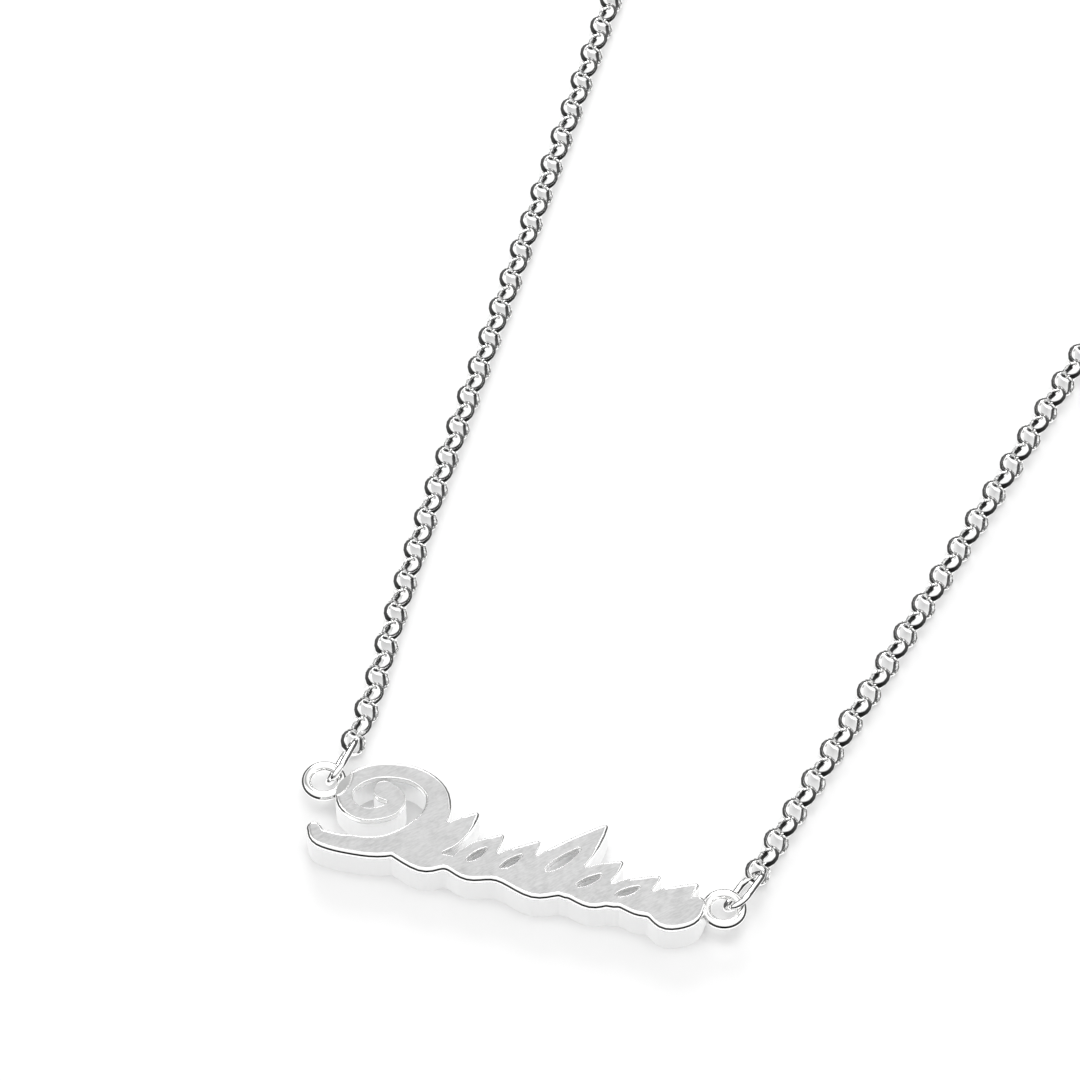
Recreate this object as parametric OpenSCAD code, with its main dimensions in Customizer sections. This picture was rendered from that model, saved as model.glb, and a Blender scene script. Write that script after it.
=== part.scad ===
// Nameplate necklace of silver, lying flat: a thick cut-out plate in the form of a scroll with
// a spray of leaves, an end ring soldered to each end of it, two oval jump rings, and a
// belcher chain in two lengths that a ring clasp joins. The plate's back lies on Z = 0, with
// the origin in the middle of its stem. +X runs along the plate from the left end ring to the
// right one, and +Y from the plate into the loop of the chain.

/* [Nameplate] */
// Length of the cut-out plate
plate_l = 32; // [29:0.5:36]
// Height of the cut-out plate
plate_h = 10.9; // [10:0.1:12]
// Thickness of the plate
plate_t = 3; // [2.4:0.1:4]
// Width of the scroll's fullest stroke
stroke_w = 2.3; // [2:0.05:2.6]
// Width of the broadest leaf
leaf_w = 2.9; // [2.5:0.05:3.2]
// Radius that the saw leaves in the inner corners of the outline
saw_r = 0.12; // [0.08:0.01:0.2]
// Radius of the filed outer points of the outline
file_r = 0.22; // [0.15:0.01:0.3]

/* [End rings] */
// Outer diameter of the rings soldered to the plate's ends
ring_d = 3.6; // [3.2:0.1:4]
// Diameter of their wire
ring_wire = 0.78; // [0.6:0.02:0.84]
// How far their middle lies below the plate's face
ring_drop = 1; // [0.7:0.05:1.2]
// Depth of the step that is filed into the plate over the left end ring
seat_depth = 0.45; // [0.2:0.05:0.6]
// How far that step reaches beyond the ring
seat_margin = 0.3; // [0.1:0.05:0.5]

/* [Jump rings] */
// Outer length of the oval jump rings
jump_l = 5.1; // [4.8:0.1:5.8]
// Outer width of the oval jump rings
jump_w = 2.8; // [2.7:0.05:3.1]
// Diameter of their wire
jump_wire = 0.54; // [0.46:0.02:0.6]
// Gap between their butted ends
jump_cut = 0.08; // [0.04:0.01:0.12]

/* [Chain] */
// Outer diameter of a link
link_d = 2.18; // [2.1:0.02:2.6]
// Width of the band that a link is bent from
link_w = 0.8; // [0.6:0.02:0.9]
// Thickness of that band
link_t = 0.2; // [0.16:0.01:0.24]
// Number of links in each of the two lengths
link_count = 108; // [90:1:116]
// How far the first link of each length hangs above where the others lie
first_lift = 0.1; // [0:0.01:0.12]
// Number of links that the chain takes to come down from there
lift_links = 4; // [3:1:8]
// Free play between links, and between all rings that hold each other
play = 0.13; // [0.1:0.01:0.2]

/* [Clasp] */
// Outer diameter of the clasp's body
clasp_d = 5.6; // [5:0.1:6.5]
// Diameter of the clasp's tube
clasp_tube = 1.1; // [0.9:0.05:1.2]
// Outer diameter of the eye on the clasp
eye_d = 2.9; // [2.7:0.1:3.2]
// Outer diameter of the two round rings that hold the clasp to the chain
tie_d = 3.5; // [3.3:0.1:3.8]
// Diameter of the wire of the eye and of the two round rings
tie_wire = 0.56; // [0.46:0.02:0.6]
// How deep the eye is let into the clasp's body
eye_bite = 0.35; // [0.25:0.05:0.5]
// Diameter of the thumb stud on the clasp
stud_d = 0.8; // [0.6:0.05:1]
// How far the stud stands out of the body
stud_l = 0.7; // [0.4:0.05:1]

/* [Hidden] */
$fn = 48;
silver = [0.86, 0.86, 0.87];
tiny = 0.001;
slack = 0.3;

// The origin's place on the plate: below the plate's middle, as a share of plate_h
stem_y = 0.29;

// Knots of the two strokes. Columns: X as a share of plate_l and Y as a share of plate_h, both
// from the plate's middle, and the width as a share of stroke_w.
scroll = [
    [-0.486, -0.180, 0.50], [-0.462, -0.250, 0.68], [-0.390, -0.268, 0.74],
    [-0.305, -0.230, 0.86], [-0.236, -0.090, 1.00], [-0.200, 0.110, 0.96],
    [-0.214, 0.310, 0.80], [-0.282, 0.420, 0.68], [-0.375, 0.385, 0.66],
    [-0.432, 0.236, 0.66], [-0.426, 0.076, 0.56], [-0.376, 0.004, 0.52],
    [-0.318, 0.066, 0.54], [-0.303, 0.180, 0.62], [-0.340, 0.236, 0.76]];
stem = [
    [-0.290, -0.200, 0.75], [-0.203, -0.305, 0.74], [-0.144, -0.270, 0.56],
    [-0.084, -0.315, 0.67], [-0.012, -0.290, 0.56], [0.082, -0.365, 0.65],
    [0.153, -0.318, 0.56], [0.225, -0.362, 0.65], [0.281, -0.318, 0.56],
    [0.340, -0.355, 0.62], [0.378, -0.362, 0.62], [0.419, -0.420, 0.72],
    [0.466, -0.345, 0.84], [0.484, -0.240, 0.60]];

// Leaves. Columns: X and Y of the base and X and Y of the tip, as shares like those above, how
// far the leaf bows to the left as a share of its length, its width as a share of leaf_w, and
// the width of the slit in it as a share of its own, where 0 leaves it whole.
leaves = [
    [-0.228, -0.250, -0.093, 0.215, -0.06, 0.74, 0],
    [-0.138, -0.330, -0.020, 0.060, -0.06, 0.80, 0.26],
    [-0.055, -0.340, 0.072, 0.060, -0.06, 0.80, 0.26],
    [0.030, -0.370, 0.226, 0.305, -0.06, 1.08, 0.26],
    [0.130, -0.370, 0.285, 0.015, -0.06, 0.86, 0.26],
    [0.232, -0.370, 0.384, -0.055, -0.06, 0.80, 0.26],
    [0.335, -0.370, 0.480, -0.060, -0.06, 0.74, 0]];
slit_from = 0.28;
slit_to = 0.68;

// Where the end rings sit. Columns: X as a share of plate_l, Y as a share of plate_h.
left_end = [-0.497, 0.272];
right_end = [0.547, -0.200];

// How the loop lies. An oval ring leaves its end ring at the angle hold around that ring, in
// the direction start, and leans over by lean. All are in degrees from +X, or from upright.
left_hold = 57;
left_start = 82;
left_lean = 24;
right_hold = 51;
right_start = 74;
right_lean = 41;

// Bends of the chain beyond each oval ring, before it runs straight. Columns: length in
// millimetres, turn to the left in degrees.
left_lead = [[7, 8], [22, -3.6]];
right_lead = [[12, -1]];

// Smoothness of the two kinds of outline
spline_steps = 5;
leaf_steps = 10;

function along(a) = [cos(a), sin(a)];
function flat(p) = [p[0], p[1]];
function unit(v) = v / norm(v);
function left_of(v) = [-v[1], v[0]];
function across(a, b) = a[0] * b[1] - a[1] * b[0];
function sum(list, column, i = 0) =
    i >= len(list) ? 0 : list[i][column] + sum(list, column, i + 1);

// A point of the plate from its shares
function on_plate(x, y) = [x * plate_l, (y + stem_y) * plate_h];

// One point of a smooth curve through knots, at the share t of the way from b to c
function knot_curve(a, b, c, d, t) =
    0.5 * (2 * b + (c - a) * t + (2 * a - 5 * b + 4 * c - d) * t * t
           + (3 * b - a - 3 * c + d) * t * t * t);

// The centreline of a stroke, made dense. Each point is X, Y and width in millimetres.
function centreline(knots) = [
    for (k = [[for (p = knots) [each on_plate(p[0], p[1]), p[2] * stroke_w]]])
        for (i = [0 : len(k) - 2], j = [0 : i == len(k) - 2 ? spline_steps : spline_steps - 1])
            knot_curve(k[max(i - 1, 0)], k[i], k[i + 1], k[min(i + 2, len(k) - 1)],
                       j / spline_steps)];

// A point on the edge of a stroke beside point i of its centreline: left for side 1
function edge(c, i, side) =
    flat(c[i]) + side * c[i][2] / 2
    * left_of(unit(flat(c[min(i + 1, len(c) - 1)]) - flat(c[max(i - 1, 0)])));

module stroke(knots) {
    c = centreline(knots);
    for (i = [0 : len(c) - 2])
        polygon([edge(c, i, 1), edge(c, i, -1), edge(c, i + 1, -1), edge(c, i + 1, 1)]);
    for (p = [c[0], c[len(c) - 1]])
        translate(flat(p)) circle(d = p[2]);
}

// Half the width of a leaf at the share t from its base, as a share of its fullest
function leaf_half(t) = pow(sin(180 * pow(t, 0.8)), 0.85);

// A leaf of a row of the table, or the slit in it when it runs from one share to another
module leaf(row, wide, from = 0, to = 1) {
    base = on_plate(row[0], row[1]);
    axis = on_plate(row[2], row[3]) - base;
    spine = [for (i = [0 : leaf_steps])
        let (t = from + (to - from) * i / leaf_steps)
        base + axis * t + left_of(axis) * row[4] * 4 * t * (1 - t)];
    half = [for (i = [0 : leaf_steps])
        unit(left_of(axis)) * wide / 2 * leaf_half(i / leaf_steps)];
    polygon(concat(
        [for (i = [0 : leaf_steps]) spine[i] + half[i]],
        [for (i = [leaf_steps - 1 : -1 : 1]) spine[i] - half[i]]));
}

// The plate's outline: the saw rounds its inner corners, and the file its outer ones
module plate_outline() {
    $fn = 16;
    offset(r = file_r) offset(r = -file_r - saw_r) offset(r = saw_r)
        difference() {
            union() {
                stroke(scroll);
                stroke(stem);
                for (row = leaves)
                    leaf(row, row[5] * leaf_w);
            }
            for (row = leaves)
                if (row[6] > 0)
                    leaf(row, row[6] * row[5] * leaf_w, slit_from, slit_to);
        }
}

// The end rings, soldered to the plate
ring_z = plate_t - ring_drop;
ring_r = (ring_d - ring_wire) / 2;
ring_in = ring_d / 2 - ring_wire;
left_ring = on_plate(left_end[0], left_end[1]);
right_ring = on_plate(right_end[0], right_end[1]);

// A round ring of wire in the XY plane
module wire_ring(outer, wire) {
    rotate_extrude() translate([(outer - wire) / 2, 0]) circle(d = wire);
}

module nameplate() {
    color(silver)
    union() {
        difference() {
            linear_extrude(plate_t) plate_outline();
            translate([left_ring[0], left_ring[1], plate_t - seat_depth])
                cylinder(r = ring_d / 2 + seat_margin, h = plate_t);
            for (at = [left_ring, right_ring])
                translate([at[0], at[1], -tiny]) cylinder(r = ring_in, h = plate_t + 2 * tiny);
        }
        for (at = [left_ring, right_ring])
            translate([at[0], at[1], ring_z]) wire_ring(ring_d, ring_wire);
    }
}

// The section of a link's band. Columns: distance from the link's axis, place along it.
link_in = link_d / 2 - link_t;
band_flat = 0.18 * link_w;
band_crown = 0.3 * link_w;
band = [
    [link_in, -band_flat], [link_in + link_t / 2, -link_w / 2], [link_d / 2, -band_crown],
    [link_d / 2, band_crown], [link_in + link_t / 2, link_w / 2], [link_in, band_flat]];

// Links roll to either side of flat in turn, and a link's lowest corner touches the floor
roll = 45;
link_h = max([for (p = band) p[0] * sin(roll) + p[1] * cos(roll)]);
function link_roll(i) = i % 2 == 0 ? roll : -roll;
function link_z(i) = link_h + first_lift * max(0, 1 - i / lift_links);

module link() {
    rotate_extrude() polygon(band);
}

// Distances between the middles of pieces that hold each other
pitch = 2 * sqrt(pow(link_in, 2) - pow(band_flat, 2)) - play;
tie_in = tie_d / 2 - tie_wire;
link_to_tie = link_in + tie_in - play - slack;
tie_to_eye = tie_in + eye_d / 2 - tie_wire - play - slack;
eye_to_clasp = (clasp_d + eye_d) / 2 - eye_bite;
clasp_to_tie = clasp_d / 2 - clasp_tube + tie_in - play - slack;
tie_to_clasp = tie_to_eye + eye_to_clasp;

// The oval rings run down from the end rings to the first links
jump_in = jump_l / 2 - jump_wire;
jump_near = jump_in - ring_wire / 2 - play - slack;
jump_far = jump_in + link_in - play - slack;
jump_dip = asin((ring_z - link_h) / (jump_near + jump_far));
jump_run = (jump_near + jump_far) * cos(jump_dip);

// The loop, from the first link on the left, over the clasp, to the first link on the right.
// Its two lengths spread evenly about an axis, and one large arc joins them at the far end.
left_from = left_ring + ring_r * along(left_hold) + jump_run * along(left_start);
right_from = right_ring + ring_r * along(right_hold) + jump_run * along(right_start);
left_aim = left_start + sum(left_lead, 1);
right_aim = right_start + sum(right_lead, 1);
spread = (left_aim - right_aim) / 2;

// The pose [point, direction] after an arc of length l that turns by t, or a straight one
function arc_end(pose, l, t) =
    let (r = l * 180 / (PI * t), a = pose[1])
    t == 0
    ? [pose[0] + l * along(a), a]
    : [pose[0] + r * [sin(a + t) - sin(a), cos(a) - cos(a + t)], a + t];

// The pose at length s along a list of stretches of [length, turn]
function pose_at(pose, stretches, s, i = 0) =
    i == len(stretches) - 1 || s <= stretches[i][0]
    ? arc_end(pose, s, stretches[i][1] * s / stretches[i][0])
    : pose_at(arc_end(pose, stretches[i][0], stretches[i][1]), stretches,
              s - stretches[i][0], i + 1);

left_leg = pose_at([left_from, left_start], left_lead, sum(left_lead, 0));
right_leg = pose_at([right_from, right_start], right_lead, sum(right_lead, 0));
leg_gap = left_leg[0] - right_leg[0];
left_back = across(leg_gap, along(right_aim)) / across(along(left_aim), along(right_aim));
right_back = across(leg_gap, along(left_aim)) / across(along(left_aim), along(right_aim));
loop_l = 2 * (link_count - 1) * pitch + 2 * link_to_tie + tie_to_clasp + clasp_to_tie;
far = (loop_l - sum(left_lead, 0) - sum(right_lead, 0) + left_back + right_back)
    / (2 * cos(spread) + sin(spread) * PI * (180 + 2 * spread) / 180);
far_arc = far * sin(spread) * PI * (180 + 2 * spread) / 180;
loop = concat(
    left_lead,
    [[far * cos(spread) - left_back, 0], [far_arc, -180 - 2 * spread],
     [far * cos(spread) - right_back, 0]],
    [for (i = [len(right_lead) - 1 : -1 : 0]) [right_lead[i][0], -right_lead[i][1]]]);
function loop_pose(s) = pose_at([left_from, left_start], loop, s);

// A child laid at a pose, its middle at height z and rolled about the chain's direction
module laid(pose, z, rolled) {
    translate([pose[0][0], pose[0][1], z]) rotate([rolled, 0, pose[1]]) children();
}

// An oval ring of wire in the XY plane, long along X, cut through one of its long sides
module oval_ring() {
    bend_x = (jump_l - jump_w) / 2;
    side_y = (jump_w - jump_wire) / 2;
    difference() {
        union() {
            for (turn = [0, 180])
                rotate([0, 0, turn]) {
                    translate([bend_x, 0, 0])
                        rotate([0, 0, -90])
                            rotate_extrude(angle = 180) translate([side_y, 0]) circle(d = jump_wire);
                    translate([-bend_x, side_y, 0])
                        rotate([0, 90, 0]) cylinder(d = jump_wire, h = 2 * bend_x);
                }
        }
        translate([-bend_x / 2, -side_y - jump_wire, -jump_wire])
            cube([jump_cut, 2 * jump_wire, 2 * jump_wire]);
    }
}

// An oval ring that hangs from an end ring and dips to the chain's first link
module hung(ring, hold, start, lean) {
    color(silver)
    translate([each (ring + ring_r * along(hold)), ring_z])
        rotate([0, jump_dip, start]) translate([jump_near, 0, 0]) rotate([90 + lean, 0, 0])
            oval_ring();
}

module jump_ring_left() {
    hung(left_ring, left_hold, left_start, left_lean);
}

module jump_ring_right() {
    hung(right_ring, right_hold, right_start, right_lean);
}

module chain_left() {
    color(silver)
    for (i = [0 : link_count - 1])
        laid(loop_pose(i * pitch), link_z(i), link_roll(i)) link();
}

module chain_right() {
    color(silver)
    for (i = [0 : link_count - 1])
        laid(loop_pose(loop_l - i * pitch), link_z(i), -link_roll(i)) link();
}

// The round rings lean as a link would, and the clasp lies level over them
tie_h = (tie_d - tie_wire) / 2 * sin(roll) + tie_wire / 2;
tie_pose = loop_pose((link_count - 1) * pitch + link_to_tie);
end_pose = loop_pose(loop_l - (link_count - 1) * pitch - link_to_tie);
clasp_line = end_pose[0] - tie_pose[0];
clasp_pose = [
    tie_pose[0] + clasp_line * tie_to_clasp / (tie_to_clasp + clasp_to_tie),
    atan2(clasp_line[1], clasp_line[0])];

module tie_ring() {
    color(silver)
    laid(tie_pose, tie_h, link_roll(link_count)) wire_ring(tie_d, tie_wire);
}

module end_ring() {
    color(silver)
    laid(end_pose, tie_h, -link_roll(link_count)) wire_ring(tie_d, tie_wire);
}

// A ring clasp, closed: its round body, the eye that the chain holds, and its thumb stud
module clasp() {
    color(silver)
    laid(clasp_pose, tie_h, 0) {
        wire_ring(clasp_d, clasp_tube);
        translate([-eye_to_clasp, 0, 0]) wire_ring(eye_d, tie_wire);
        translate([0, clasp_d / 2 - clasp_tube / 2, 0])
            rotate([-90, 0, 0]) cylinder(d = stud_d, h = clasp_tube / 2 + stud_l);
    }
}

nameplate();
jump_ring_left();
jump_ring_right();
chain_left();
chain_right();
tie_ring();
clasp();
end_ring();
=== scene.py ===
# %% [markdown]
# A silver nameplate necklace lies on a white table. Its construction comes packed from the
# frame: a thick cut-out plate, two oval jump rings, two lengths of belcher chain, and a ring
# clasp at the far end of the loop. This script gives it the look of worked silver: a satin
# face, edges rounded on a polishing wheel, and bright links and rings.

import math

import bmesh
import bpy
import numpy as np
from mathutils import Matrix, Vector
from mathutils.bvhtree import BVHTree


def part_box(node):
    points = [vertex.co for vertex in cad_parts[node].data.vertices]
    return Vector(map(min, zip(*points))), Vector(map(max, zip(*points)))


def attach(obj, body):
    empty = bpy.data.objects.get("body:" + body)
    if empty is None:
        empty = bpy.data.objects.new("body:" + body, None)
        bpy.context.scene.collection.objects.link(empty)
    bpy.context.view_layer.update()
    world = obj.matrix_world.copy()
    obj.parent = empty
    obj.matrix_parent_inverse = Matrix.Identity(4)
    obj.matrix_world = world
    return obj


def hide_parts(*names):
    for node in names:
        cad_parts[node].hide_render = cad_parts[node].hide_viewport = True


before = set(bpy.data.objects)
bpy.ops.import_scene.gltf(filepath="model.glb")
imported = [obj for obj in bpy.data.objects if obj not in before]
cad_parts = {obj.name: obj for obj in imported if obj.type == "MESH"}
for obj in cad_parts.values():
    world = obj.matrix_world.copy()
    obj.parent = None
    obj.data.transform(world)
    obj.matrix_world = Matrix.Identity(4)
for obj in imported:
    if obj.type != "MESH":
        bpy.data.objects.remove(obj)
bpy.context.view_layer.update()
MM = 0.001
WELD = 0.001 * MM
CREASE = math.radians(35)
print("pieces:", sorted(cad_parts))

# %% [markdown]
# A material is a tree of nodes. Its maths reads best as Python expressions, so one small class
# wraps a socket: `1 - mask` or `noise * 0.3` then adds the Math nodes by itself. A second class
# holds the tree. Its method add makes any other node, with its settings and its inputs, and
# shorter methods stand for the nodes that come up again and again.


# %% Sockets that can be calculated with
class Wire:
    def __init__(self, shader, socket):
        self.shader = shader
        self.socket = socket

    def maths(self, operation, *values):
        return self.shader.add("ShaderNodeMath", {"operation": operation}, values)

    def __add__(self, other):
        return self.maths("ADD", self, other)

    def __sub__(self, other):
        return self.maths("SUBTRACT", self, other)

    def __mul__(self, other):
        return self.maths("MULTIPLY", self, other)

    def __rsub__(self, other):
        return self.maths("SUBTRACT", other, self)

    __radd__ = __add__
    __rmul__ = __mul__

    def step(self, low, high):
        """0 below low and 1 above high, with a smooth change between."""
        settings = {"interpolation_type": "SMOOTHSTEP"}
        values = {"Value": self, "From Min": low, "From Max": high}
        return self.shader.add("ShaderNodeMapRange", settings, values)

    def beside(self, output):
        """Another output of the node that this wire comes from."""
        return Wire(self.shader, self.socket.node.outputs[output])


class Shader:
    def __init__(self, tree):
        self.tree = tree
        tree.nodes.clear()

    def add(self, kind, settings=None, values=(), output=0):
        """Adds a node. Its inputs are numbers or wires, in order or by name or place."""
        node = self.tree.nodes.new(kind)
        for name, value in (settings or {}).items():
            setattr(node, name, value)
        for key, value in values.items() if isinstance(values, dict) else enumerate(values):
            if isinstance(value, Wire):
                self.tree.links.new(value.socket, node.inputs[key])
            else:
                node.inputs[key].default_value = value
        return Wire(self, node.outputs[output])

    def noise(self, place, width, detail, roughness=0.5):
        """Noise from 0 to 1, whose patches are about that wide."""
        values = {"Vector": place, "Scale": 1 / width, "Detail": detail, "Roughness": roughness}
        return self.add("ShaderNodeTexNoise", {}, values)

    def mask(self, name):
        """A value that the mesh carries at its points."""
        return self.add("ShaderNodeAttribute", {"attribute_name": name}, output="Fac")

    def mix(self, share, first, second):
        """The colour between first and second at that share."""
        return self.add("ShaderNodeMix", {"data_type": "RGBA"}, {0: share, 6: first, 7: second}, 2)

    def end(self, kind, surface):
        """Joins the surface to an output node, the end of the tree."""
        output = self.tree.nodes.new(kind)
        self.tree.links.new(surface.socket, output.inputs["Surface"])


def new_material(name):
    material = bpy.data.materials.new(name)
    material.use_nodes = True
    return material, Shader(material.node_tree)


def silver(shader, colour, roughness, height, metallic=1.0):
    """Ends the tree as metal of that colour, dented by a height in millimetres."""
    bump = shader.add("ShaderNodeBump", {}, {"Strength": 1.0, "Distance": MM, "Height": height})
    looks = {"Base Color": colour, "Metallic": metallic, "Roughness": roughness, "Normal": bump}
    shader.end("ShaderNodeOutputMaterial", shader.add("ShaderNodeBsdfPrincipled", {}, looks))


print("helpers for materials:", Wire.__name__, Shader.__name__)

# %% [markdown]
# Sterling silver is a mirror with a faint warm cast. What tells one finish from another is its
# roughness and its small bumps: tumbled wire is nearly smooth, with shallow dents that bend the
# reflections. A picture of dents would need a UV map. Noise on Object coordinates needs none,
# and it keeps its size in millimetres on every piece. The inside of a link can't be tumbled
# bright, so a mask on the mesh leaves the marks of its bending pin there as dents. The same mask
# also greys the colour inside each link in patches, which is painted shade in the link's hollow.

# %% Polished silver
POLISHED = (0.955, 0.955, 0.95, 1.0)
# The grey of worn patches, which is also painted shade inside the links.
TARNISH_AND_SHADE = (0.72, 0.72, 0.73, 1.0)
PIN_MARKS = 0.03


def polished_silver(name, roughness, dent, dent_size):
    """dent is the depth of the dents and dent_size their width, both in millimetres."""
    material, shader = new_material(name)
    place = shader.add("ShaderNodeTexCoord", output="Object")
    inside = shader.mask("inside")
    dents = shader.noise(place, dent_size * MM, 2.0)
    wear = shader.noise(place, dent_size * MM / 2.7, 4.0)
    # Worn patches are real tarnish. The inside mask adds painted shade in the links' hollows.
    wear_and_shade = wear.step(0.45, 0.8) * 0.35 + wear.step(0.4, 0.6) * inside * 0.5
    colour = shader.mix(wear_and_shade, POLISHED, TARNISH_AND_SHADE)
    dulled = roughness + wear.step(0.4, 0.75) * roughness
    silver(shader, colour, dulled, dents * dent + wear * inside * PIN_MARKS)
    return material


wire_silver = polished_silver("polished_silver_wire", 0.07, 0.03, 0.9)
link_silver = polished_silver("polished_silver_links", 0.08, 0.006, 0.6)
print("polished:", wire_silver.name, link_silver.name)

# %% [markdown]
# The plate has three finishes. The wheel has polished its rounded rim, the sawn walls below are
# matt, with scratches so fine that they scatter the light, and the face inside the rim is satin,
# brushed by hand in short strokes. Three materials on three sets of faces would meet in a hard
# line, so one material blends them. The mesh carries how far in from the sawn edge each point
# lies, counted so that 0 is the sawn edge, 1 is where the rounding ends and -1 is the back.

# %% Satin silver for the plate
SATIN = (0.6, 0.6, 0.6, 1.0)
# The grey of the brush strokes, which also paints the shade line along the rim.
BRUSH_AND_RIM_SHADE = (0.32, 0.32, 0.32, 1.0)
SAWN = (0.86, 0.86, 0.86, 1.0)
# Painted light: the walls of slits and narrow gaps get this brighter colour.
PAINTED_SLIT_LIGHT = (0.94, 0.94, 0.94, 1.0)
MATT = 0.6
STROKE_ANGLE = math.radians(42)
STROKE_LENGTH = (5.0, 1.0, 1.0)
SAW_LENGTH = (1.0, 1.0, 0.12)


def brushed_face(shader, place, satin, edge):
    """The satin's colour, its strokes, its broad patches and a painted shade line along the rim.
    """
    turned = shader.add("ShaderNodeMapping", {"vector_type": "TEXTURE"}, {
        "Vector": place, "Rotation": (0.0, 0.0, STROKE_ANGLE), "Scale": STROKE_LENGTH})
    strokes = shader.noise(turned, 0.11 * MM, 4.0, 0.65)
    cloud = shader.noise(place, 1.8 * MM, 4.0, 0.55)
    brushed = strokes.step(0.35, 0.7) * 0.36 + cloud.step(0.38, 0.62) * 0.4
    face = shader.mix(brushed, SATIN, BRUSH_AND_RIM_SHADE)
    # A grey line is painted where the satin meets the rim: painted shade.
    painted_rim_shade = satin * (1 - edge.step(0.7, 1.4))
    return shader.mix(painted_rim_shade * 0.5, face, BRUSH_AND_RIM_SHADE), strokes, cloud


def plate_silver():
    material, shader = new_material("satin_plate_with_polished_rim")
    place = shader.add("ShaderNodeTexCoord", output="Object")
    edge = shader.mask("from_edge")
    satin = edge.step(0.45, 0.75)
    wall = 1 - (edge + 1).step(0.88, 0.98)
    face, strokes, cloud = brushed_face(shader, place, satin, edge)
    upright = shader.add("ShaderNodeMapping", {}, {"Vector": place, "Scale": SAW_LENGTH})
    grain = shader.noise(upright, 0.5 * MM, 3.0)
    wave = shader.noise(place, 2.2 * MM, 2.0)
    # In narrow places the walls get a lighter colour: painted light.
    sawn_with_slit_light = shader.mix(shader.mask("narrow"), SAWN, PAINTED_SLIT_LIGHT)
    colour = shader.mix(satin, shader.mix(wall, POLISHED, sawn_with_slit_light), face)
    roughness = 0.07 + satin * 0.24 + satin * cloud.step(0.35, 0.75) * 0.08 + wall * 0.22
    height = wave * 0.025 * (1 - satin) + strokes * 0.006 * satin + grain * wall * 0.04
    silver(shader, colour, roughness, height, 1 - wall * MATT)
    return material


satin_silver = plate_silver()
print("satin:", satin_silver.name)

# %% [markdown]
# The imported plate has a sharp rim, as a saw leaves it. Rounding it with a plain bevel fails
# here, because the radius is larger than the tips of the leaves. So the face is cut into small
# squares, and every point near the edge sinks by the height of a quarter circle at its own
# distance from the nearest wall. Where two walls are close, the two curves meet in a ridge, as
# they do on a real filed tip. Coarse squares do for the flat face, and fine ones lie along the
# walls. Cutting by halves keeps each plane's work small.

# %% Sizes of the rounding
COARSE = 0.2 * MM
FINE = 0.05 * MM
OPEN_RADIUS = 0.34 * MM
NARROW_RADIUS = 0.1 * MM
ROWS = [OPEN_RADIUS, 0.22 * MM, 0.12 * MM, 0.06 * MM]
STEEP = 0.05
plate_low, plate_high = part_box("nameplate")
plate_top = plate_high.z
print("plate, mm:", [round(size / MM, 2) for size in plate_high - plate_low])


# %% Cut faces by planes
def near_top(face):
    return min(vertex.co.z for vertex in face.verts) > plate_top - OPEN_RADIUS - WELD


def cut(bm, faces, axis, place):
    """Cuts the faces by a plane across an axis, and returns the faces on each side of it."""
    direction = Vector([1.0 if i == axis else 0.0 for i in range(3)])
    parts = set(faces)
    for face in faces:
        parts.update(face.edges)
        parts.update(face.verts)
    made = bmesh.ops.bisect_plane(
        bm, geom=list(parts), dist=WELD / 4, plane_co=direction * place, plane_no=direction)
    pieces = [part for part in made["geom"] if isinstance(part, bmesh.types.BMFace)]
    below = [face for face in pieces if face.calc_center_bounds()[axis] < place]
    above = [face for face in pieces if face.calc_center_bounds()[axis] >= place]
    return below, above


def cut_grid(bm, faces, axis, step, first, last):
    """Cuts the faces by every plane between two numbers, halving the stretch each time."""
    if last - first < 2 or not faces:
        return
    middle = (first + last) // 2
    below, above = cut(bm, faces, axis, middle * step)
    cut_grid(bm, below, axis, step, first, middle)
    cut_grid(bm, above, axis, step, middle, last)


def cut_squares(bm, step, wanted):
    """Cuts the faces of the upper rows that are wanted into squares of one step."""
    for axis in (0, 1):
        faces = [face for face in bm.faces if near_top(face) and wanted(face)]
        first = math.floor(plate_low[axis] / step)
        last = math.ceil(plate_high[axis] / step)
        cut_grid(bm, faces, axis, step, first, last)


plate = bmesh.new()
plate.from_mesh(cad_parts["nameplate"].data)
bmesh.ops.remove_doubles(plate, verts=plate.verts, dist=WELD)
for row in ROWS:
    cut(plate, plate.faces[:], 2, plate_top - row)
cut_squares(plate, COARSE, lambda face: True)
print("faces after the coarse cuts:", len(plate.faces))

# %% [markdown]
# A wheel rounds an open wall well, but it can't reach into a slit or between two leaves. A
# radius drawn by hand for each wall would have to change with the outline. Instead, a fan of
# rays looks out of the wall: the more free air it finds, the larger the radius there. A tree of
# the wall faces answers both that and where the nearest wall is.

# %% How free a wall is
REACH = 4.0 * MM
OPEN_AIR = (0.45, 0.85)
SLIT_AIR = (0.25, 0.6)
FAN = [Matrix.Rotation(math.radians(angle), 3, "Z") for angle in (-50, -25, 0, 25, 50)]
probe_height = plate_top - ROWS[-1] / 2


def tree_of_walls(bm):
    bm.normal_update()
    bm.verts.index_update()
    walls = [face for face in bm.faces if abs(face.normal.z) < STEEP and near_top(face)]
    return BVHTree.FromPolygons(
        [vertex.co.copy() for vertex in bm.verts],
        [[vertex.index for vertex in face.verts] for face in walls])


def air(place, out):
    """The share of the way out of a wall, up to REACH, that is free of other walls."""
    start = place + out * WELD
    start.z = probe_height
    free = []
    for turn in FAN:
        hit = wall_tree.ray_cast(start, turn @ out, REACH)[3]
        free.append(REACH if hit is None else hit)
    return sum(free) / len(free) / REACH


def soft_step(value, low, high):
    share = min(1.0, max(0.0, (value - low) / (high - low)))
    return share * share * (3 - 2 * share)


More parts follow.
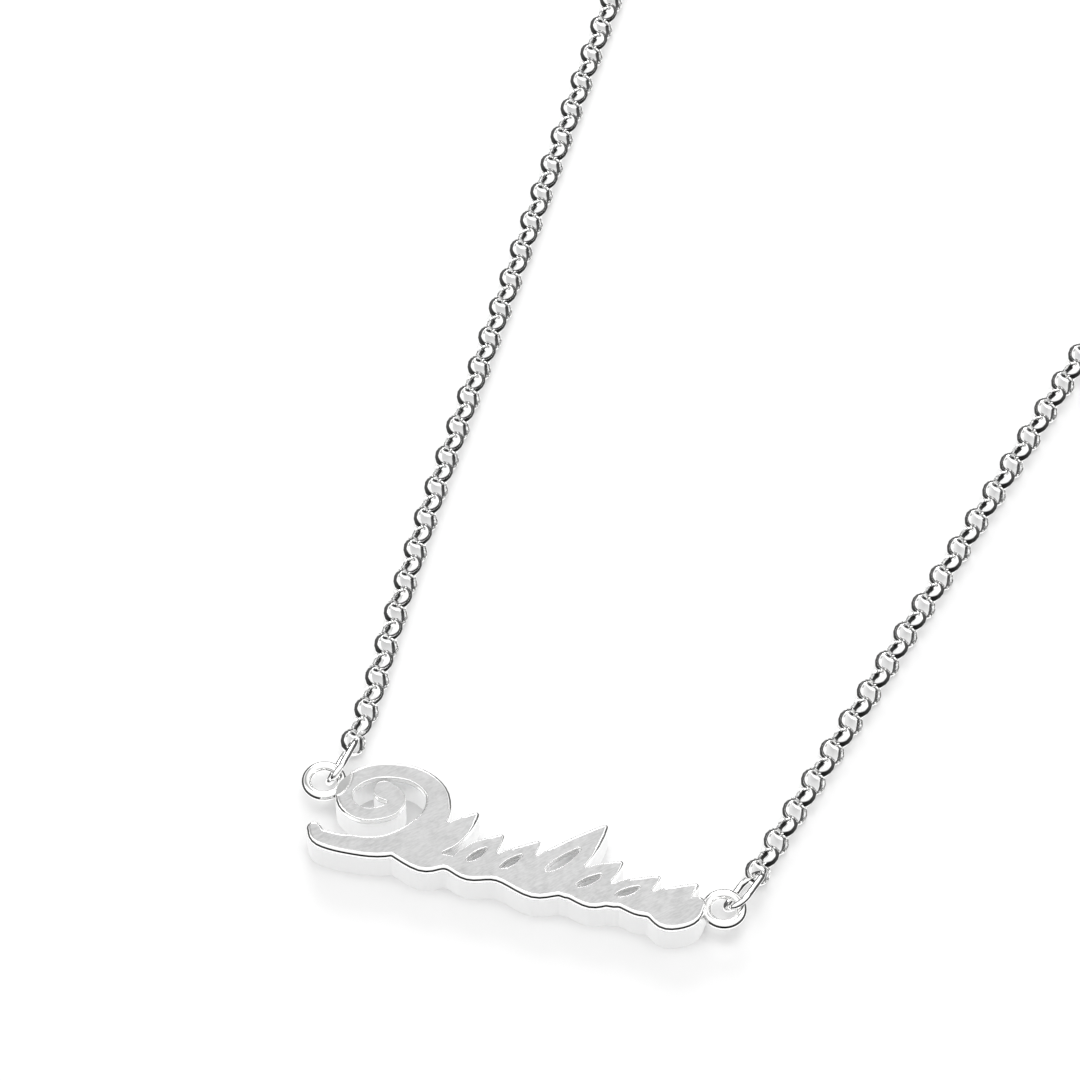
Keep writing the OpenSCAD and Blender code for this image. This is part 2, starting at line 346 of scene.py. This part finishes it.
def radius_at(place, out):
    """The radius that the wheel leaves on the edge there."""
    freedom = soft_step(air(place, out), *OPEN_AIR)
    return NARROW_RADIUS + (OPEN_RADIUS - NARROW_RADIUS) * freedom


def nearest_wall(place):
    """The nearest point of a wall, the way from the place to it, and how far away it is."""
    probe = Vector((place.x, place.y, probe_height))
    foot, _, _, away = wall_tree.find_nearest(probe)
    return foot, (foot - probe).normalized(), away


def by_the_wall(face):
    foot, out, away = nearest_wall(face.calc_center_bounds())
    if away > OPEN_RADIUS + COARSE / 2:
        return False
    return away < COARSE / 4 or away < radius_at(foot, out) + COARSE / 2


wall_tree = tree_of_walls(plate)
cut_squares(plate, FINE, by_the_wall)
bmesh.ops.remove_doubles(plate, verts=plate.verts, dist=WELD)
wall_tree = tree_of_walls(plate)
print("faces after the fine cuts:", len(plate.faces))

# %% [markdown]
# Each point of the rounding gets a place on a circle and the turn of its normal, from 0 for a
# level normal to a quarter turn on the flat face. The walls lean inwards up to LAST_TURN, and
# the face goes on from there. Two numbers are kept at the points for the material: how far in
# from the edge a point lies, and how narrow the place in front of its wall is. The second one
# brightens the walls of slits and narrow gaps with painted light.

# %% Where a point of the rounding goes
LAST_TURN = math.radians(36)
FIRST_STEP = 1 - math.cos(LAST_TURN)
EDGE_UNIT = 0.1 * MM
AT_THE_BACK = -1.0
UPRIGHT = Vector((0, 0, 1))


def outward(vertex):
    """The level direction out of the metal at a point of the outline."""
    total = Vector()
    for face in vertex.link_faces:
        if abs(face.normal.z) < STEEP:
            total += face.normal
    total.z = 0
    return total.normalized()


def on_circle(foot, out, radius, turn):
    """The point of the rounding over a foot of the wall, where its normal has that turn."""
    place = foot - out * radius * (1 - math.cos(turn))
    place.z = plate_top - radius * (1 - math.sin(turn))
    return place


def on_wall(vertex):
    """Where a point of the wall goes: its place, the turn of its normal, the way out, the edge."""
    out = outward(vertex)
    radius = radius_at(vertex.co, out)
    depth = plate_top - vertex.co.z
    if depth >= radius:
        return vertex.co.copy(), 0.0, out, 0.0
    turn = LAST_TURN * (1 - depth / radius)
    return on_circle(vertex.co, out, radius, turn), turn, out, 0.0


def on_face(vertex):
    """The same for a point of the face, from its distance to the nearest wall."""
    foot, out, away = nearest_wall(vertex.co)
    if away < WELD:
        out = outward(vertex)
    radius = radius_at(foot, out) if away < OPEN_RADIUS else NARROW_RADIUS
    if away >= radius:
        return vertex.co.copy(), math.pi / 2, Vector(), 1 + (away - radius) / EDGE_UNIT
    turn = math.acos(1 - FIRST_STEP - (1 - FIRST_STEP) * away / radius)
    return on_circle(foot, out, radius, turn), turn, out, away / radius


print("last turn of the walls, degrees:", round(math.degrees(LAST_TURN)))

# %% Round the rim
from_edge = plate.verts.layers.float.new("from_edge")
narrow = plate.verts.layers.float.new("narrow")
plate.verts.ensure_lookup_table()
rounded = {}
for vertex in plate.verts:
    depth = plate_top - vertex.co.z
    if depth < OPEN_RADIUS + WELD:
        rounded[vertex.index] = on_face(vertex) if depth < WELD else on_wall(vertex)
# How enclosed each wall is, for the painted light on the walls of slits.
for vertex in plate.verts:
    out = outward(vertex)
    if out.length > 0.5:
        vertex[narrow] = 1 - soft_step(air(vertex.co, out), *SLIT_AIR)
for index, (place, turn, out, edge) in rounded.items():
    plate.verts[index].co = place
    plate.verts[index][from_edge] = edge
for vertex in plate.verts:
    if vertex.co.z < WELD:
        vertex[from_edge] = AT_THE_BACK
print("points in the rounding and the face:", len(rounded))


# %% [markdown]
# The small squares would show in the reflections if Blender worked out their normals. So the
# finished plate gets normals of its own, straight from the circle. The zero vector asks for the
# usual normal, and the lower walls and the back keep that. A piece that is finished rides with
# the necklace and stands for an imported node, which is hidden.

# %% Make the plate a piece
def make_piece(name, bm, material, slot_name, *nodes):
    mesh = bpy.data.meshes.new(name)
    bm.to_mesh(mesh)
    bm.free()
    mesh.materials.append(material)
    piece = bpy.data.objects.new(name, mesh)
    bpy.context.scene.collection.objects.link(piece)
    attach(piece, "root")
    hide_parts(*nodes)
    return piece


def smooth(bm, crease):
    """Shades the faces smooth, and keeps the edges that fold more than the crease sharp."""
    for edge in bm.edges:
        edge.smooth = edge.calc_face_angle(0) < crease
    for face in bm.faces:
        face.smooth = True
        face.material_index = 0


def own_normal(index):
    if index not in rounded:
        return Vector()
    _, turn, out, _ = rounded[index]
    return out * math.cos(turn) + UPRIGHT * math.sin(turn)


smooth(plate, CREASE)
for edge in plate.edges:
    if all(vertex.index in rounded for vertex in edge.verts):
        edge.smooth = True
plate_piece = make_piece("nameplate_scroll", plate, satin_silver, "plate_silver", "nameplate")
normals = [own_normal(loop.vertex_index) for loop in plate_piece.data.loops]
plate_piece.data.normals_split_custom_set(normals)
print("plate triangles:", sum(len(face.vertices) - 2 for face in plate_piece.data.polygons))

# %% [markdown]
# A belcher chain has round links of half-round wire, rounded outside and nearly flat inside.
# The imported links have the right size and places, but a plain faceted section. Subdividing all
# 216 of them would cost far too many faces, so one link of a few dozen faces is spun, and a copy
# of it is laid on every packed link. Sharp edges at its rims give each link its thin outline.

# %% Spin one link
LINK_OUTER = 2.18 * MM / 2
LINK_WALL = 0.2 * MM
LINK_HALF_WIDTH = 0.4 * MM
LINK_RIM = LINK_OUTER - LINK_WALL / 2
LINK_CREASE = math.radians(40)
AROUND = 14
HALF_SECTION = [(LINK_OUTER - LINK_WALL, 0.36), (LINK_RIM, 1.0), (LINK_OUTER, 0.6)]


def spun_link():
    """One link about Z. Its section's numbers are a radius and a share of the half width."""
    bm = bmesh.new()
    section = HALF_SECTION + [(out, -along) for out, along in reversed(HALF_SECTION)]
    corners = [bm.verts.new((out, 0, along * LINK_HALF_WIDTH)) for out, along in section]
    ring = [bm.edges.new(pair) for pair in zip(corners, corners[1:] + corners[:1])]
    bmesh.ops.spin(
        bm, geom=corners + ring, axis=(0, 0, 1), cent=(0, 0, 0), angle=math.tau,
        steps=AROUND, use_merge=True, use_duplicate=False)
    bmesh.ops.remove_doubles(bm, verts=bm.verts, dist=WELD)
    bmesh.ops.recalc_face_normals(bm, faces=bm.faces)
    inside = bm.verts.layers.float.new("inside")
    for vertex in bm.verts:
        vertex[inside] = 1.0 if vertex.co.xy.length < LINK_RIM - WELD else 0.0
    smooth(bm, LINK_CREASE)
    mesh = bpy.data.meshes.new("one_link")
    bm.to_mesh(mesh)
    bm.free()
    return mesh


one_link = spun_link()
print("faces of a link:", len(one_link.polygons))


# %% [markdown]
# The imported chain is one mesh, and each link in it is a loose part. A link's place is the middle
# of its points, and its axis is the direction in which they spread least, because a ring is wide
# in its own plane and thin across it.

# %% Lay a link on every packed link
def separate_links(mesh):
    """The points of each loose part of a mesh."""
    bm = bmesh.new()
    bm.from_mesh(mesh)
    bmesh.ops.remove_doubles(bm, verts=bm.verts, dist=WELD)
    left = set(bm.verts)
    parts = []
    for start in bm.verts:
        if start not in left:
            continue
        left.remove(start)
        part, edge_of_part = [start], [start]
        while edge_of_part:
            vertex = edge_of_part.pop()
            for edge in vertex.link_edges:
                other = edge.other_vert(vertex)
                if other in left:
                    left.remove(other)
                    part.append(other)
                    edge_of_part.append(other)
        parts.append(np.array([vertex.co for vertex in part]))
    bm.free()
    return parts


def link_pose(points):
    """The move of a link from about Z at the origin to where these points lie."""
    middle = (points.max(0) + points.min(0)) / 2
    spread = np.linalg.eigh(np.cov((points - points.mean(0)).T))
    axis = Vector(spread[1][:, 0])
    return Matrix.Translation(Vector(middle)) @ axis.to_track_quat("Z", "X").to_matrix().to_4x4()


def chain(name, node):
    bm = bmesh.new()
    for points in separate_links(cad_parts[node].data):
        before = len(bm.verts)
        bm.from_mesh(one_link)
        bm.verts.ensure_lookup_table()
        bmesh.ops.transform(bm, matrix=link_pose(points), verts=bm.verts[before:])
    return make_piece(name, bm, link_silver, "chain_silver", node)


for side in ("left", "right"):
    made = chain(f"belcher_chain_{side}", f"chain_{side}")
    print(made.name, "faces:", len(made.data.polygons))


# %% [markdown]
# The jump rings and the clasp's pieces are drawn wire, and they have their exact form in the
# frame already. Its loose triangles are shaded flat, though, and a mirror shows every facet. A
# merged copy is shaded smooth, so a highlight runs along the wire without a break.

# %% Draw the rings and the clasp smooth
WIRE_SLOTS = {
    "jump_ring_left": "ring_silver",
    "jump_ring_right": "ring_silver",
    "tie_ring": "ring_silver",
    "clasp": "clasp_silver",
    "end_ring": "ring_silver",
}


def drawn_wire(node, slot_name):
    bm = bmesh.new()
    bm.from_mesh(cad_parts[node].data)
    bmesh.ops.remove_doubles(bm, verts=bm.verts, dist=WELD)
    bmesh.ops.recalc_face_normals(bm, faces=bm.faces)
    smooth(bm, CREASE)
    return make_piece(f"{node}_wire", bm, wire_silver, slot_name, node)


for node, slot_name in WIRE_SLOTS.items():
    made = drawn_wire(node, slot_name)
    print(made.name, "faces:", len(made.data.polygons))

# %% [markdown]
# The table is plain white, much larger than the necklace, so that no edge of it shows from any
# side. It isn't part of the object. Reflections don't see it: on a real table of this size the
# far end would be dim, and that gives silver its dark outlines. The room below does the same in
# a way that can be set.

# %% The table
TABLE = 6.0
WHITE = 0.74
floor_mesh = bpy.data.meshes.new("table")
bm = bmesh.new()
bmesh.ops.create_grid(bm, x_segments=1, y_segments=1, size=TABLE / 2)
bm.to_mesh(floor_mesh)
bm.free()
paper, shader = new_material("white_table")
matt = shader.add("ShaderNodeBsdfDiffuse", {}, {"Color": (WHITE, WHITE, WHITE, 1)})
shader.end("ShaderNodeOutputMaterial", matt)
floor_mesh.materials.append(paper)
table = bpy.data.objects.new("table", floor_mesh)
bpy.context.scene.collection.objects.link(table)
table.visible_glossy = False
print("table, metres wide:", TABLE)

# %% [markdown]
# Silver shows the room more than itself. In a white tent it would look like plaster, so a
# jeweller's photographer keeps a dark band round the horizon. A rounded edge mirrors it as a thin
# black line, and all else stays bright. A picture of a studio would do too, but a formula can be
# tuned: the world's colour is worked out from the direction of each ray. The light overhead is
# the brightest, and the back wall is dimmer, because the flat satin face mirrors that. The links
# throw their light on the table, so the band is left out for rays that go that way.

# %% The white room
AZIMUTH = math.radians(12)
LOW_LIGHT = 1.24
SIDE_LIGHT = 1.45
OVERHEAD_LIGHT = 2.2
world = bpy.data.worlds.new("white_room")
bpy.context.scene.world = world
world.use_nodes = True
room = Shader(world.node_tree)
ray = room.add("ShaderNodeTexCoord", output="Generated")
x = room.add("ShaderNodeSeparateXYZ", {}, {0: ray})
y = x.beside("Y")
z = x.beside("Z")
near = x * math.sin(AZIMUTH) - y * math.cos(AZIMUTH)
right = x * math.cos(AZIMUTH) + y * math.sin(AZIMUTH)
behind = 1 - near.step(-0.5, 0.0)
band = z.step(-0.72, -0.58) * (1 - (z - near * 0.05 - behind * 0.1).step(0.2, 0.42))
in_metal = room.add("ShaderNodeLightPath", output="Is Glossy Ray")
after_table = in_metal.beside("Diffuse Depth").step(0.4, 0.6)
dark = band * (0.95 + near * 0.04) * (1 - in_metal * after_table)
overhead = z.step(0.9, 0.98)
back_wall = (1 - near.step(-0.42, -0.15)) * z.step(0.45, 0.65)
front = near.step(0.0, 0.4) * (1 - z.step(0.85, 0.95))
dimming = front * 0.4 + back_wall * (1.0 - right.step(-0.08, 0.12) * 0.55)
upper = SIDE_LIGHT + overhead * OVERHEAD_LIGHT - dimming
level = (LOW_LIGHT + z.step(0.0, 0.1) * (upper - LOW_LIGHT)) * (1 - dark)
glow = room.add("ShaderNodeBackground", {}, {"Color": (1, 1, 1, 1), "Strength": level})
room.end("ShaderNodeOutputWorld", glow)
print("the room has", len(world.node_tree.nodes), "nodes")

# %% [markdown]
# One soft lamp stands behind the necklace on the left, as a window would. It draws the pale
# shadows towards the camera. A small lamp would make them hard, so it is a square that is wider
# than the loop is long. The Standard view keeps the white table white, and ten bounces let the
# links mirror one another.

# %% The softbox
AIM = Vector((-4.29, 34.17, 0)) * MM
SOFTBOX = 0.35
SOFTBOX_POWER = 2.0
softbox = bpy.data.lights.new("softbox", "AREA")
softbox.shape = "RECTANGLE"
softbox.size = SOFTBOX
softbox.size_y = SOFTBOX
softbox.energy = SOFTBOX_POWER
lamp = bpy.data.objects.new("softbox", softbox)
lamp.location = Vector((-0.16, 0.62, 0.34))
lamp.rotation_mode = "QUATERNION"
lamp.rotation_quaternion = (lamp.location - AIM).to_track_quat("Z", "Y")
bpy.context.scene.collection.objects.link(lamp)
bpy.context.scene.view_settings.view_transform = "Standard"
bpy.context.scene.cycles.glossy_bounces = 10
print("softbox, metres from the plate:", round((lamp.location - AIM).length, 2))

# %% [markdown]
# The camera stands in front, a little to the right, and looks down on the table at 54.5
# degrees. Its lens is long, so the plate and the chain behind it keep about the same scale. The
# focal length is given in pixels of the photograph, and the sensor's width turns it into
# millimetres.

# %% The camera
ELEVATION = math.radians(54.5)
DISTANCE = 0.462
PHOTO_WIDTH = 1080
FOCAL_LENGTH = 5600
camera = bpy.data.cameras.new("camera")
camera.sensor_width = 36
camera.lens = camera.sensor_width * FOCAL_LENGTH / PHOTO_WIDTH
camera.clip_start = 0.01
eye = bpy.data.objects.new("camera", camera)
level_out = Vector((math.sin(AZIMUTH), -math.cos(AZIMUTH), 0)) * math.cos(ELEVATION)
back = level_out + UPRIGHT * math.sin(ELEVATION)
eye.location = AIM + back * DISTANCE
eye.rotation_mode = "QUATERNION"
eye.rotation_quaternion = back.to_track_quat("Z", "Y")
bpy.context.scene.collection.objects.link(eye)
bpy.context.scene.camera = eye
print("camera at", [round(value, 3) for value in eye.location])
